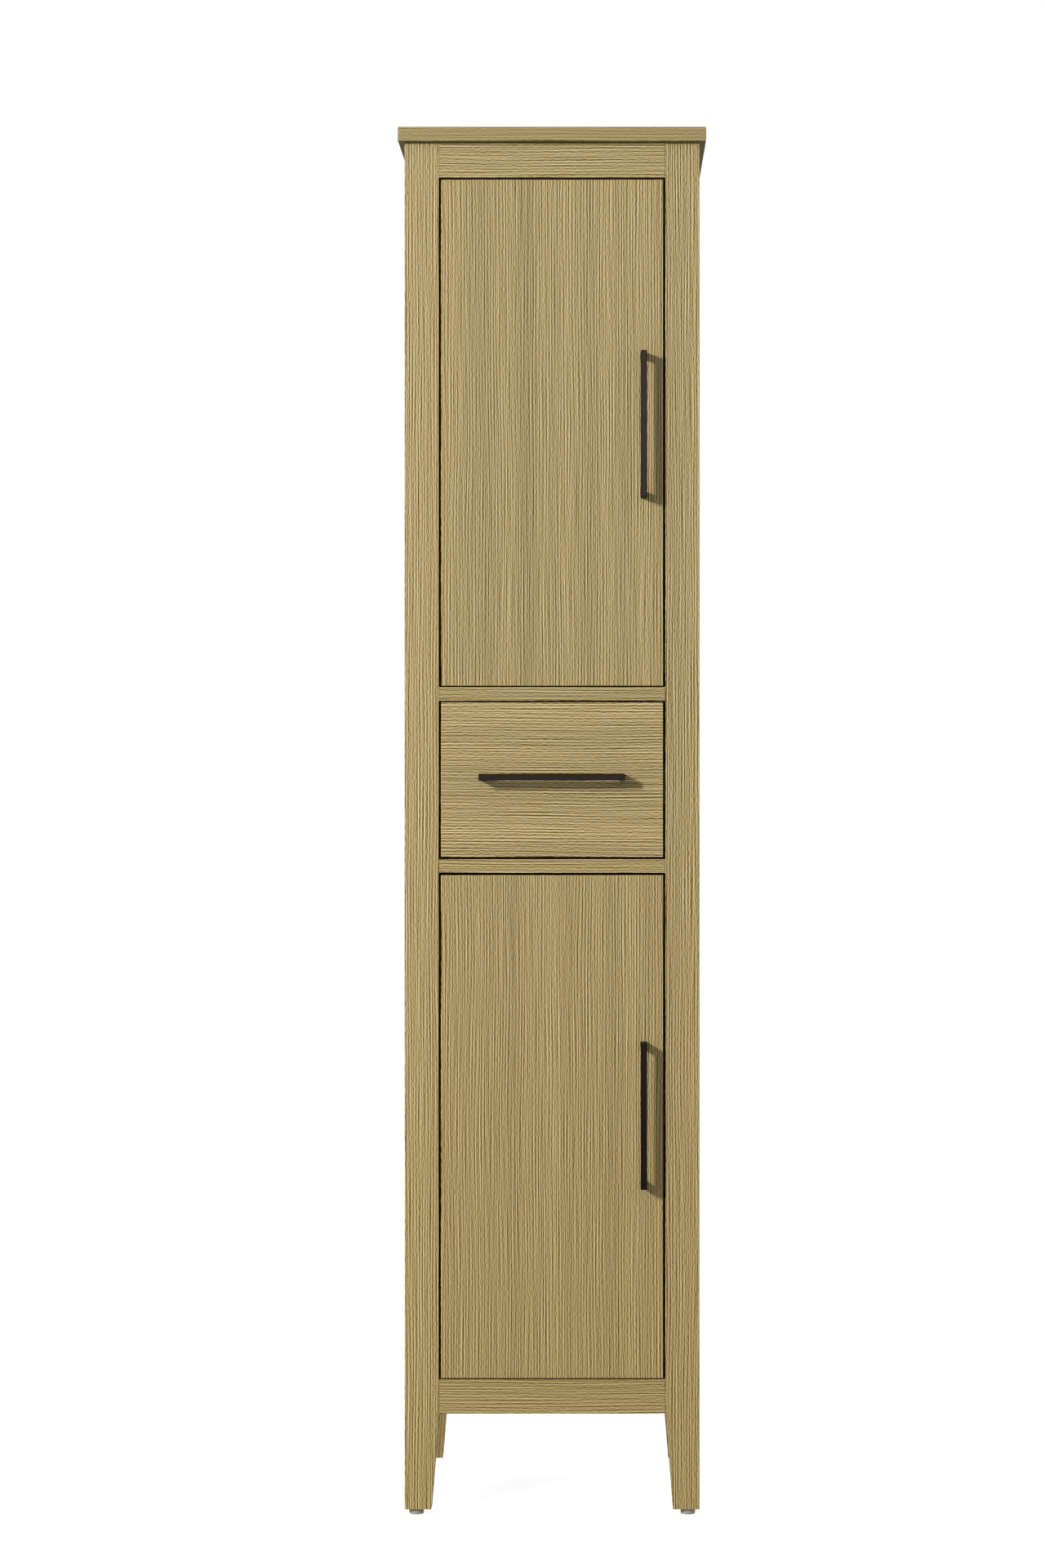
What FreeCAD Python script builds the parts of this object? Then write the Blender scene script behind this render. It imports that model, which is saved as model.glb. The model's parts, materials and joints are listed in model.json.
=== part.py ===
import FreeCAD, Part
import os
import re

# Tall linen cabinet: a face frame on tapered legs, with two inset doors and a drawer between them.
# Millimetres, floor at z = 0, +Z up, front towards -Y, origin under the middle of the overall box.

SIZES = {
    # Heights, from the floor up.
    "glide_height": 8,
    "leg_height": 126,
    "bottom_rail_height": 45,
    "lower_opening_height": 668,
    "middle_rail_height": 18,
    "drawer_opening_height": 209,
    "upper_opening_height": 672,
    "top_rail_height": 46,
    "top_thickness": 19,
    # Plan of the body.
    "opening_width": 299,
    "body_depth": 364,
    "post_width": 45,
    "post_depth": 45,
    "leg_end_width": 35,
    "leg_end_depth": 35,
    "top_side_overhang": 8.5,
    "top_front_overhang": 11,
    # Boards.
    "rail_depth": 20,
    "side_thickness": 12,
    "side_recess": 6,
    "panel_groove": 8,
    "back_thickness": 6,
    "back_rabbet": 10,
    "board_thickness": 15,
    "rear_rail_depth": 18,
    "rear_top_rail_height": 60,
    "cleat_width": 20,
    "cleat_height": 22,
    "post_ease": 1.2,
    "top_ease": 1.5,
    "frame_ease": 0.7,
    # Doors and drawer front.
    "door_thickness": 18,
    "reveal": 3,
    "door_foot_reveal": 1.8,
    "drawer_head_reveal": 2,
    "door_ease": 1,
    # Bar handles.
    "handle_length": 192,
    "handle_bar": 8.5,
    "handle_projection": 31,
    "handle_edge_inset": 25.7,
    "upper_handle_raise": 9,
    "lower_handle_raise": 16,
    "drawer_handle_raise": 4,
    "handle_ease": 0.9,
    "handle_screw_radius": 2,
    "handle_screw_bite": 12,
    "handle_screw_head_radius": 4,
    "handle_screw_head_height": 2.2,
    # Concealed hinges.
    "hinge_end_inset": 90,
    "cup_inset": 21.5,
    "cup_radius": 17.4,
    "cup_depth": 11.9,
    "cup_wall": 0.9,
    "cup_wing_width": 18,
    "cup_wing_end": 5,
    "cup_wing_thickness": 0.6,
    "cup_screw_spacing": 46,
    "cup_pin_inset": 14,
    "cup_pin_sink": 6,
    "cup_pin_length": 30.4,
    "hinge_pin_radius": 1.5,
    "hinge_eye_radius": 2.8,
    "link_reach": 18,
    "link_thickness": 2.8,
    "link_drop": 3.3,
    "link_height": 12,
    "arm_pin_lift": 4,
    "arm_height": 18,
    "arm_depth": 7,
    "arm_gap": 1.2,
    "ear_gap": 0.4,
    "plate_thickness": 2.5,
    "plate_setback": 25,
    "plate_depth": 18,
    "plate_end": 8,
    "plate_ease": 2,
    "plate_screw_spacing": 32,
    # Door stops behind the free edge.
    "stop_width": 12,
    "stop_depth": 20,
    "stop_height": 40,
    "stop_end_inset": 20,
    "bumper_radius": 4,
    "bumper_thickness": 1.7,
    "bumper_gap": 0.3,
    # Shelves.
    "shelf_thickness": 15,
    "shelf_gap": 1,
    "shelf_setback": 30,
    "lower_shelf_rise": 333,
    "upper_low_shelf_rise": 224,
    "upper_high_shelf_rise": 448,
    "shelf_pin_radius": 2.4,
    "shelf_pin_depth": 8,
    "shelf_pin_inset": 40,
    "shelf_pin_tab_length": 10,
    "shelf_pin_tab_width": 10,
    "shelf_pin_tab_height": 3,
    "shelf_hole_pitch": 32,
    # Drawer box and slides.
    "drawer_box_depth": 300,
    "drawer_box_height": 150,
    "drawer_box_rise": 25,
    "drawer_board": 12,
    "drawer_bottom_thickness": 6,
    "drawer_bottom_rise": 10,
    "drawer_groove": 6,
    "slide_thickness": 12.7,
    "slide_height": 45,
    "slide_length": 300,
    "slide_setback": 22,
    "slide_rise": 95,
    "slide_wall": 1.2,
    "slide_gap": 0.4,
    "batten_height": 60,
    # Glides, fasteners and the wall fixing.
    "glide_inset": 15,
    "glide_top_radius": 10.2,
    "glide_bottom_radius": 9.6,
    "glide_ease": 1,
    "nail_radius": 1.2,
    "nail_length": 18,
    "nail_sink": 3,
    "wood_screw_radius": 1.8,
    "wood_screw_bite": 13,
    "wood_screw_head_radius": 3.4,
    "wood_screw_head_height": 1.6,
    "hole_clearance": 0.1,
    "pin_clearance": 0.05,
    "wall_hole_radius": 3,
    "wall_hole_spacing": 200,
}

# Places worked out from the sizes, written as expressions.
FRONT = "(handle_projection - body_depth) / 2"
BACK = "(handle_projection + body_depth) / 2"
DOOR_BACK = f"{FRONT} + door_thickness"
RAIL_BACK = f"{FRONT} + rail_depth"
POST_BACK = f"{FRONT} + post_depth"
REAR_POST_FRONT = f"{BACK} - post_depth"
BACK_PANEL_FRONT = f"{BACK} - back_thickness"
HALF_OPENING = "opening_width / 2"
HALF_BODY = "(opening_width / 2 + post_width)"
HALF_INSIDE = "(opening_width / 2 + post_width - side_recess - side_thickness)"
LEG_TOP = "(glide_height + leg_height)"
LOWER_SILL = f"({LEG_TOP} + bottom_rail_height)"
LOWER_HEAD = f"({LOWER_SILL} + lower_opening_height)"
DRAWER_SILL = f"({LOWER_HEAD} + middle_rail_height)"
DRAWER_HEAD = f"({DRAWER_SILL} + drawer_opening_height)"
UPPER_SILL = f"({DRAWER_HEAD} + middle_rail_height)"
UPPER_HEAD = f"({UPPER_SILL} + upper_opening_height)"
TOP_UNDER = f"({UPPER_HEAD} + top_rail_height)"
DOOR_WIDTH = "(opening_width - 2 * reveal)"
CUP_X = f"(-{HALF_OPENING} + reveal + cup_inset)"
CUP_WING_HEIGHT = "(cup_screw_spacing + 2 * cup_wing_end)"
PLATE_HEIGHT = "(plate_screw_spacing + 2 * plate_end)"
CUP_PIN_X = f"(-{HALF_OPENING} + reveal + cup_pin_inset)"
CUP_PIN_Y = f"({DOOR_BACK} - cup_pin_sink)"
ARM_PIN_X = f"({CUP_PIN_X} + link_reach)"
ARM_PIN_Y = f"({DOOR_BACK} + arm_pin_lift)"
ARM_FRONT = f"({ARM_PIN_Y} + hinge_eye_radius + arm_gap)"
HANDLE_X = f"({HALF_OPENING} - reveal - handle_edge_inset)"
HANDLE_SPAN = "(handle_length - handle_bar)"
DRAWER_BOX_HALF = f"({HALF_OPENING} - slide_thickness)"
DRAWER_BOX_FLOOR = f"({DRAWER_SILL} + drawer_box_rise)"
SLIDE_Z = f"({DRAWER_SILL} + slide_rise)"

doc = FreeCAD.newDocument("LinenCabinet")
sheet = doc.addObject("Spreadsheet::Sheet", "Sizes")
for row, (alias, size) in enumerate(SIZES.items(), start=1):
    sheet.set(f"A{row}", alias)
    sheet.set(f"B{row}", str(size))
    sheet.setAlias(f"B{row}", alias)
doc.recompute()

nodes = []


def node(piece):
    nodes.append(piece)
    return piece


def bound(text):
    """Point every size named in an expression at its cell of the sheet."""
    return re.sub(r"[a-z_]+", lambda word: "Sizes." + word.group(), text)


def bind(piece, **texts):
    for name, text in texts.items():
        piece.setExpression(name, bound(text))


def place(piece, at):
    for axis, text in zip("xyz", at):
        piece.setExpression(f"Placement.Base.{axis}", bound(text))


def box(name, size, at):
    block = doc.addObject("Part::Box", name)
    bind(block, Length=size[0], Width=size[1], Height=size[2])
    place(block, at)
    return block


AXIS_TURNS = {
    "x": FreeCAD.Rotation(FreeCAD.Vector(0, 1, 0), 90),
    "y": FreeCAD.Rotation(FreeCAD.Vector(1, 0, 0), -90),
    "z": FreeCAD.Rotation(),
}


def cylinder(name, axis, radius, length, at):
    """A round bar from its start point along +X, +Y or +Z."""
    bar = doc.addObject("Part::Cylinder", name)
    bar.Placement = FreeCAD.Placement(FreeCAD.Vector(), AXIS_TURNS[axis])
    bind(bar, Radius=radius, Height=length)
    place(bar, at)
    return bar


def group(name, pieces):
    together = doc.addObject("Part::Compound", name)
    together.Links = pieces
    return together


def fuse(name, pieces):
    joined = doc.addObject("Part::MultiFuse", name)
    joined.Shapes = pieces
    joined.Refine = True
    return joined


def cut(name, base, tools):
    rest = doc.addObject("Part::Cut", name)
    rest.Base = base
    rest.Tool = tools[0] if len(tools) == 1 else group(name + "_tools", tools)
    return rest


def body_box(body, kind, name, size, at):
    block = body.newObject(kind, name)
    bind(block, Length=size[0], Width=size[1], Height=size[2])
    place(block, at)
    return block


def ease_edges(body, base, radius, wanted):
    """Round the edges of a body's last feature that the test picks out."""
    doc.recompute()
    picked = []
    for count, edge in enumerate(base.Shape.Edges, start=1):
        if wanted(edge, base.Shape):
            picked.append(f"Edge{count}")
    rounding = body.newObject("PartDesign::Fillet", body.Name + "_ease")
    rounding.Base = (base, picked)
    bind(rounding, Radius=radius)


# Edges closer than this to a side of their solid lie on it.
TOUCH = Part.Precision.confusion()


def every_edge(edge, shape):
    return True


def on_front_face(edge, shape):
    return edge.BoundBox.YMax < shape.BoundBox.YMin + TOUCH


def right_front_edge(edge, shape):
    return on_front_face(edge, shape) and edge.BoundBox.XMin > shape.BoundBox.XMax - TOUCH


def left_front_edge(edge, shape):
    return on_front_face(edge, shape) and edge.BoundBox.XMax < shape.BoundBox.XMin + TOUCH


def on_underside(edge, shape):
    return edge.BoundBox.ZMax < shape.BoundBox.ZMin + TOUCH


def full_height(edge, shape):
    return edge.BoundBox.ZLength > shape.BoundBox.ZLength - TOUCH


def clear_of_seat(edge, shape):
    return edge.BoundBox.YMin < shape.BoundBox.YMax - TOUCH


def eased_board(name, size, at, radius, wanted):
    body = doc.addObject("PartDesign::Body", name)
    stock = body_box(body, "PartDesign::AdditiveBox", name + "_stock", size, at)
    ease_edges(body, stock, radius, wanted)
    return body


def screw(name, axis, sizes, length, at, head_start):
    """A shank from its start point, with a head that starts further along or back on the axis."""
    shank = cylinder(name + "_shank", axis, sizes + "_radius", length, at)
    head_at = [head_start if letter == axis else text for letter, text in zip("xyz", at)]
    head = cylinder(name + "_head", axis, sizes + "_head_radius", sizes + "_head_height", head_at)
    return fuse(name, [shank, head])


# Panels first: the posts are grooved to them.
SIDES = {"left": -1, "right": 1}
ENDS = ("front", "rear")


def mirrored_low(sign, inner, thickness):
    """Lower X of a piece that starts at a distance from the middle and grows outwards."""
    return inner if sign > 0 else f"-({inner}) - {thickness}"


side_blanks = {}
for side, sign in SIDES.items():
    side_blanks[side] = box(
        f"{side}_side_blank",
        ["side_thickness", "body_depth - 2 * post_depth + 2 * panel_groove", f"{TOP_UNDER} - {LEG_TOP}"],
        [mirrored_low(sign, HALF_INSIDE, "side_thickness"), f"{POST_BACK} - panel_groove", LEG_TOP])
back_blank = box(
    "back_blank",
    ["opening_width + 2 * back_rabbet", "back_thickness", f"{TOP_UNDER} - {LEG_TOP}"],
    [f"-{HALF_OPENING} - back_rabbet", BACK_PANEL_FRONT, LEG_TOP])

HINGE_LEVELS = {
    "upper": [f"{UPPER_SILL} + reveal + hinge_end_inset", f"{UPPER_HEAD} - reveal - hinge_end_inset"],
    "lower": [f"{LOWER_SILL} + reveal + hinge_end_inset", f"{LOWER_HEAD} - reveal - hinge_end_inset"],
}
ALL_HINGE_LEVELS = HINGE_LEVELS["upper"] + HINGE_LEVELS["lower"]
PLATE_SCREW_Y = f"{FRONT} + plate_setback + plate_depth / 2"
PLATE_SCREW_LEVELS = []
for level in ALL_HINGE_LEVELS:
    PLATE_SCREW_LEVELS += [f"{level} {way} plate_screw_spacing / 2" for way in "+-"]


def glide_middle(side, end):
    """Middle of a glide, as far from both outer faces of its leg."""
    x = f"-{HALF_BODY} + glide_inset" if side == "left" else f"{HALF_BODY} - glide_inset"
    y = f"{FRONT} + glide_inset" if end == "front" else f"{BACK} - glide_inset"
    return x, y


INNER_FRONT_EDGES = {"left": right_front_edge, "right": left_front_edge}


def post(side, end):
    """Corner post: a square upper part and a leg that tapers on its two inner sides."""
    name = f"{end}_{side}_post"
    low_x = f"-{HALF_BODY}" if side == "left" else HALF_OPENING
    low_y = FRONT if end == "front" else REAR_POST_FRONT
    body = doc.addObject("PartDesign::Body", name + "_stock")
    upper = body_box(body, "PartDesign::AdditiveBox", name + "_upper",
                     ["post_width", "post_depth", f"{TOP_UNDER} - {LEG_TOP}"], [low_x, low_y, LEG_TOP])
    if end == "front":
        ease_edges(body, upper, "frame_ease", INNER_FRONT_EDGES[side])
    leg = body.newObject("PartDesign::AdditiveWedge", name + "_leg")
    leg.Placement = FreeCAD.Placement(FreeCAD.Vector(), AXIS_TURNS["y"])
    bind(leg, Xmin="0", Xmax="post_width", Zmin="0", Zmax="post_depth", Ymin="0", Ymax="leg_height")
    if side == "left":
        bind(leg, X2min="0", X2max="leg_end_width")
    else:
        bind(leg, X2min="post_width - leg_end_width", X2max="post_width")
    if end == "front":
        bind(leg, Z2min="0", Z2max="leg_end_depth")
    else:
        bind(leg, Z2min="post_depth - leg_end_depth", Z2max="post_depth")
    place(leg, [low_x, low_y, LEG_TOP])
    ease_edges(body, leg, "post_ease", full_height)
    nail_x, nail_y = glide_middle(side, end)
    cuts = [side_blanks[side]]
    cuts.append(cylinder(
        name + "_nail_hole", "z", "nail_radius + hole_clearance",
        "nail_length - glide_height + nail_sink + hole_clearance", [nail_x, nail_y, "glide_height"]))
    if end == "rear":
        cuts.append(back_blank)
    if (side, end) == ("left", "front"):
        for count, level in enumerate(PLATE_SCREW_LEVELS):
            cuts.append(cylinder(
                f"plate_screw_hole_{count}", "x", "wood_screw_radius + hole_clearance",
                "wood_screw_bite + hole_clearance",
                [f"-{HALF_OPENING} - wood_screw_bite - hole_clearance", PLATE_SCREW_Y, level]))
    return cut(name, body, cuts)


for side in SIDES:
    for end in ENDS:
        node(post(side, end))

# Shelves, their pins and the rows of pin holes in the side panels.
SHELF_UNDERS = {
    "lower_shelf": f"{LOWER_SILL} + lower_shelf_rise",
    "upper_low_shelf": f"{UPPER_SILL} + upper_low_shelf_rise",
    "upper_high_shelf": f"{UPPER_SILL} + upper_high_shelf_rise",
}
PIN_ROWS = [f"{POST_BACK} + shelf_pin_inset", f"{REAR_POST_FRONT} - shelf_pin_inset"]
PIN_STEPS = (-1, 0, 1)


def notched_board(name, thickness, low_z, gap, front):
    """A board that fills the inside, notched round the four posts."""
    middle = box(name + "_middle",
                 [f"opening_width - 2 * {gap}", f"{BACK_PANEL_FRONT} - {gap} - ({front})", thickness],
                 [f"-{HALF_OPENING} + {gap}", front, low_z])
    wide = box(name + "_wide",
               [f"2 * ({HALF_INSIDE} - {gap})", f"body_depth - 2 * post_depth - 2 * {gap}", thickness],
               [f"-({HALF_INSIDE} - {gap})", f"{POST_BACK} + {gap}", low_z])
    return fuse(name, [middle, wide])


pins = []
pin_holes = {"left": [], "right": []}
for shelf, under in SHELF_UNDERS.items():
    node(notched_board(shelf, "shelf_thickness", under, "shelf_gap", f"{FRONT} + shelf_setback"))
    for side, sign in SIDES.items():
        for row, pin_y in enumerate(PIN_ROWS):
            name = f"{shelf}_{side}_pin_{row}"
            axis_z = f"{under} - shelf_pin_tab_height"
            tab_x = mirrored_low(sign, f"{HALF_INSIDE} - shelf_pin_tab_length", "shelf_pin_tab_length")
            tab = box(
                name + "_tab", ["shelf_pin_tab_length", "shelf_pin_tab_width", "shelf_pin_tab_height"],
                [tab_x, f"{pin_y} - shelf_pin_tab_width / 2", axis_z])
            stem_length = "(shelf_pin_tab_length + shelf_pin_depth - hole_clearance)"
            stem_x = mirrored_low(sign, f"{HALF_INSIDE} - shelf_pin_tab_length", stem_length)
            stem = cylinder(name + "_stem", "x", "shelf_pin_radius", stem_length, [stem_x, pin_y, axis_z])
            pins.append(fuse(name, [tab, stem]))
            for step in PIN_STEPS:
                pin_holes[side].append(cylinder(
                    f"{name}_hole_{step + 1}", "x", "shelf_pin_radius + hole_clearance", "shelf_pin_depth",
                    [mirrored_low(sign, HALF_INSIDE, "shelf_pin_depth"), pin_y,
                     f"{axis_z} + ({step}) * shelf_hole_pitch"]))
node(group("shelf_pins", pins))
for side in SIDES:
    node(cut(f"{side}_side_panel", side_blanks[side], pin_holes[side]))

# Fixed boards between the compartments.
BOARD_TOPS = {"bottom_panel": LOWER_SILL, "lower_divider": DRAWER_SILL, "upper_divider": UPPER_SILL}
for name, top in BOARD_TOPS.items():
    node(notched_board(name, "board_thickness", f"{top} - board_thickness", "0", RAIL_BACK))

# Face frame rails.
for name, height, low_z in [
        ("top_rail", "top_rail_height", UPPER_HEAD),
        ("upper_middle_rail", "middle_rail_height", DRAWER_HEAD),
        ("lower_middle_rail", "middle_rail_height", LOWER_HEAD),
        ("bottom_rail", "bottom_rail_height", LEG_TOP)]:
    node(eased_board(name, ["opening_width", "rail_depth", height], [f"-{HALF_OPENING}", FRONT, low_z],
                     "frame_ease", on_front_face))

# Rear rails and back panel, drilled for the wall fixing.
REAR_RAIL_Y = f"{BACK_PANEL_FRONT} - rear_rail_depth"
node(box("rear_bottom_rail", ["opening_width", "rear_rail_depth", "bottom_rail_height - board_thickness"],
         [f"-{HALF_OPENING}", REAR_RAIL_Y, LEG_TOP]))
rear_top_blank = box("rear_top_rail_blank", ["opening_width", "rear_rail_depth", "rear_top_rail_height"],
                     [f"-{HALF_OPENING}", REAR_RAIL_Y, f"{TOP_UNDER} - rear_top_rail_height"])
wall_holes = []
for side, sign in SIDES.items():
    wall_holes.append(cylinder(
        f"wall_hole_{side}", "y", "wall_hole_radius", "rear_rail_depth + back_thickness",
        [f"({sign}) * wall_hole_spacing / 2", REAR_RAIL_Y, f"{TOP_UNDER} - rear_top_rail_height / 2"]))
node(cut("rear_top_rail", rear_top_blank, wall_holes))
node(cut("back_panel", back_blank, wall_holes))

# Top board, held from below by screws through two cleats.
top_body = eased_board(
    "top_board",
    [f"2 * ({HALF_BODY} + top_side_overhang)", "body_depth + top_front_overhang", "top_thickness"],
    [f"-({HALF_BODY} + top_side_overhang)", f"{FRONT} - top_front_overhang", TOP_UNDER],
    "top_ease", every_edge)
cleats = []
top_screws = []
top_holes = []
CLEAT_UNDER = f"{TOP_UNDER} - cleat_height"
for side, sign in SIDES.items():
    cleat_x = mirrored_low(sign, f"{HALF_INSIDE} - cleat_width", "cleat_width")
    blank = box(f"{side}_cleat_blank", ["cleat_width", "body_depth - 2 * post_depth", "cleat_height"],
                [cleat_x, POST_BACK, CLEAT_UNDER])
    holes = []
    for row, screw_y in enumerate(PIN_ROWS):
        at = [f"({sign}) * ({HALF_INSIDE} - cleat_width / 2)", screw_y, CLEAT_UNDER]
        name = f"{side}_top_screw_{row}"
        top_screws.append(screw(name, "z", "wood_screw", "cleat_height + wood_screw_bite", at,
                                f"{CLEAT_UNDER} - wood_screw_head_height"))
        holes.append(cylinder(name + "_hole", "z", "wood_screw_radius + hole_clearance",
                              "cleat_height + wood_screw_bite + hole_clearance", at))
    cleats.append(cut(f"{side}_cleat", blank, holes))
    top_holes += holes
node(cut("top_panel", top_body, top_holes))
node(group("top_cleats", cleats))
node(group("top_screws", top_screws))

# Concealed hinges: plate and arm on the post, link, and cup in the door.
plates = []
arms = []
plate_screws = []
EAR_X = f"{ARM_PIN_X} - hinge_eye_radius"
EAR_HEIGHT = "(arm_height / 2 - link_height / 2 - ear_gap)"


def hinge_arm(name, level):
    """Bar from the plate with two ears and the pin that carries the link."""
    bar_x = f"-{HALF_OPENING} + plate_thickness"
    low = f"{level} - arm_height / 2"
    pieces = [box(name + "_bar", [f"{ARM_PIN_X} + hinge_eye_radius - ({bar_x})", "arm_depth", "arm_height"],
                  [bar_x, ARM_FRONT, low])]
    for ear, ear_z in enumerate([low, f"{level} + arm_height / 2 - {EAR_HEIGHT}"]):
        pieces.append(box(
            f"{name}_ear_{ear}", ["2 * hinge_eye_radius", f"{ARM_FRONT} - {ARM_PIN_Y}", EAR_HEIGHT],
            [EAR_X, ARM_PIN_Y, ear_z]))
        pieces.append(cylinder(f"{name}_eye_{ear}", "z", "hinge_eye_radius", EAR_HEIGHT,
                               [ARM_PIN_X, ARM_PIN_Y, ear_z]))
    pieces.append(cylinder(
        name + "_pin", "z", "hinge_pin_radius", "arm_height", [ARM_PIN_X, ARM_PIN_Y, low]))
    return fuse(name, pieces)


def hinge_link(name, level):
    """Cranked strip with an eye at each end, which clears the rim of the cup when the door is open."""
    low = f"{level} - link_height / 2"
    foot_y = f"{CUP_PIN_Y} - link_drop"
    outer_x = f"{ARM_PIN_X} + hinge_eye_radius"
    pieces = [
        box(name + "_foot", ["link_reach + hinge_eye_radius", "link_thickness", "link_height"],
            [CUP_PIN_X, foot_y, low]),
        box(name + "_shin", ["link_thickness", f"{ARM_PIN_Y} - ({foot_y})", "link_height"],
            [f"{outer_x} - link_thickness", foot_y, low]),
    ]
    holes = []
    for end, pin_x, pin_y in [("cup", CUP_PIN_X, CUP_PIN_Y), ("arm", ARM_PIN_X, ARM_PIN_Y)]:
        pieces.append(cylinder(
            f"{name}_{end}_eye", "z", "hinge_eye_radius", "link_height", [pin_x, pin_y, low]))
        holes.append(cylinder(f"{name}_{end}_bore", "z", "hinge_pin_radius + pin_clearance", "link_height",
                              [pin_x, pin_y, low]))
    return cut(name, fuse(name + "_strip", pieces), holes)


def hinge_cup(name, level):
    """Pressed cup let into the door, with screw wings and the pin that carries the link."""
    floor_y = f"{DOOR_BACK} - cup_depth"
    shell = cylinder(name + "_shell", "y", "cup_radius", "cup_depth", [CUP_X, floor_y, level])
    wing = box(name + "_wing", ["cup_wing_width", "cup_wing_thickness", CUP_WING_HEIGHT],
               [f"{CUP_X} - cup_wing_width / 2", DOOR_BACK, f"{level} - {CUP_WING_HEIGHT} / 2"])
    hollow = cylinder(
        name + "_hollow", "y", "cup_radius - cup_wall", "cup_depth - cup_wall + cup_wing_thickness",
        [CUP_X, f"{floor_y} + cup_wall", level])
    holes = [hollow]
    for spot, way in enumerate("+-"):
        holes.append(cylinder(
            f"{name}_wing_hole_{spot}", "y", "wood_screw_radius + hole_clearance", "cup_wing_thickness",
            [CUP_X, DOOR_BACK, f"{level} {way} cup_screw_spacing / 2"]))
    pressing = cut(name + "_pressing", fuse(name + "_blank", [shell, wing]), holes)
    pin = cylinder(name + "_pin", "z", "hinge_pin_radius", "cup_pin_length",
                   [CUP_PIN_X, CUP_PIN_Y, f"{level} - cup_pin_length / 2"])
    return fuse(name, [pressing, pin])


for count, level in enumerate(ALL_HINGE_LEVELS):
    arms.append(hinge_arm(f"hinge_arm_{count}", level))
    blank = eased_board(f"hinge_plate_blank_{count}", ["plate_thickness", "plate_depth", PLATE_HEIGHT],
                        [f"-{HALF_OPENING}", f"{FRONT} + plate_setback", f"{level} - {PLATE_HEIGHT} / 2"],
                        "plate_ease", right_front_edge)
    holes = []
    for spot, way in enumerate("+-"):
        screw_z = f"{level} {way} plate_screw_spacing / 2"
        holes.append(cylinder(f"hinge_plate_hole_{count}_{spot}", "x", "wood_screw_radius + hole_clearance",
                              "plate_thickness", [f"-{HALF_OPENING}", PLATE_SCREW_Y, screw_z]))
        plate_screws.append(screw(
            f"hinge_plate_screw_{count}_{spot}", "x", "wood_screw", "wood_screw_bite + plate_thickness",
            [f"-{HALF_OPENING} - wood_screw_bite", PLATE_SCREW_Y, screw_z],
            f"-{HALF_OPENING} + plate_thickness"))
    plates.append(cut(f"hinge_plate_{count}", blank, holes))
node(group("hinge_plates", plates))
node(group("hinge_arms", arms))
node(group("hinge_plate_screws", plate_screws))

# Bar handles with screws from behind.


def handle(name, middle_x, middle_z, standing):
    """U-shaped bar of square section on two feet, tapped for a screw in each foot."""
    reach = "handle_projection"
    gap_depth = "handle_projection - handle_bar"
    gap_length = "handle_length - 2 * handle_bar"
    if standing:
        size = ["handle_bar", reach, "handle_length"]
        gap_size = ["handle_bar", gap_depth, gap_length]
    else:
        size = ["handle_length", reach, "handle_bar"]
        gap_size = [gap_length, gap_depth, "handle_bar"]
    body = doc.addObject("PartDesign::Body", name + "_bar")
    body_box(body, "PartDesign::AdditiveBox", name + "_stock", size,
             [f"{middle_x} - ({size[0]}) / 2", f"{FRONT} - {reach}", f"{middle_z} - ({size[2]}) / 2"])
    gap = body_box(body, "PartDesign::SubtractiveBox", name + "_gap", gap_size,
                   [f"{middle_x} - ({gap_size[0]}) / 2", f"{FRONT} - ({gap_depth})",
                    f"{middle_z} - ({gap_size[2]}) / 2"])
    ease_edges(body, gap, "handle_ease", clear_of_seat)
    holes = []
    for spot, (x, z) in enumerate(handle_screw_spots(middle_x, middle_z, standing)):
        holes.append(cylinder(
            f"{name}_foot_hole_{spot}", "y", "handle_screw_radius + hole_clearance",
            "handle_screw_bite + hole_clearance", [x, f"{FRONT} - handle_screw_bite - hole_clearance", z]))
    return cut(name, body, holes)


def handle_screw_spots(middle_x, middle_z, standing):
    if standing:
        return [(middle_x, f"{middle_z} {way} {HANDLE_SPAN} / 2") for way in "+-"]
    return [(f"{middle_x} {way} {HANDLE_SPAN} / 2", middle_z) for way in "+-"]


def handle_screws(name, spots, grip):
    screws = []
    for spot, (x, z) in enumerate(spots):
        screws.append(screw(f"{name}_{spot}", "y", "handle_screw", f"handle_screw_bite + {grip}",
                            [x, f"{FRONT} - handle_screw_bite", z], f"{FRONT} + {grip}"))
    return group(name, screws)


def handle_holes(name, spots, start, length):
    return [cylinder(f"{name}_{spot}", "y", "handle_screw_radius + hole_clearance", length, [x, start, z])
            for spot, (x, z) in enumerate(spots)]


# Doors, each with its cups, links, handle and screws.


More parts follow.
